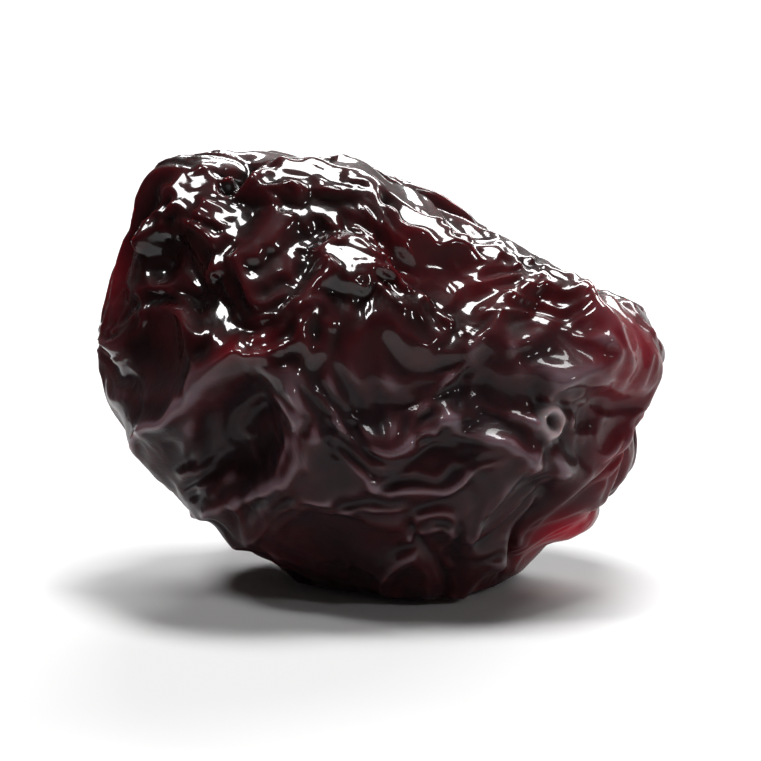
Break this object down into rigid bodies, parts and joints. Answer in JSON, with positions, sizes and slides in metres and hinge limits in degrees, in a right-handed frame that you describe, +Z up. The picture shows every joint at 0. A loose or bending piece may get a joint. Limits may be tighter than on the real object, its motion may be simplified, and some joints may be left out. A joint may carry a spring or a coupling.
{
  "type": "dried cherry",
  "caption": "Single pitted dried dark sweet cherry: a plump, deeply wrinkled glossy fruit with a stem scar, lying on a small flattened spot.",
  "frame": {"origin": "on the floor, under the middle of the fruit's box", "axes": "+Z up from the flat spot that it lies on, +X along its longest way, -Y towards the side that the picture shows"},
  "size_m": [0.019, 0.0134, 0.0144],
  "materials": {
    "cherry_skin": "glossy, slightly sticky dark red-black fruit skin"
  },
  "bodies": {
    "root": {"dried_cherry": "cherry_skin"}
  },
  "joints": []
}
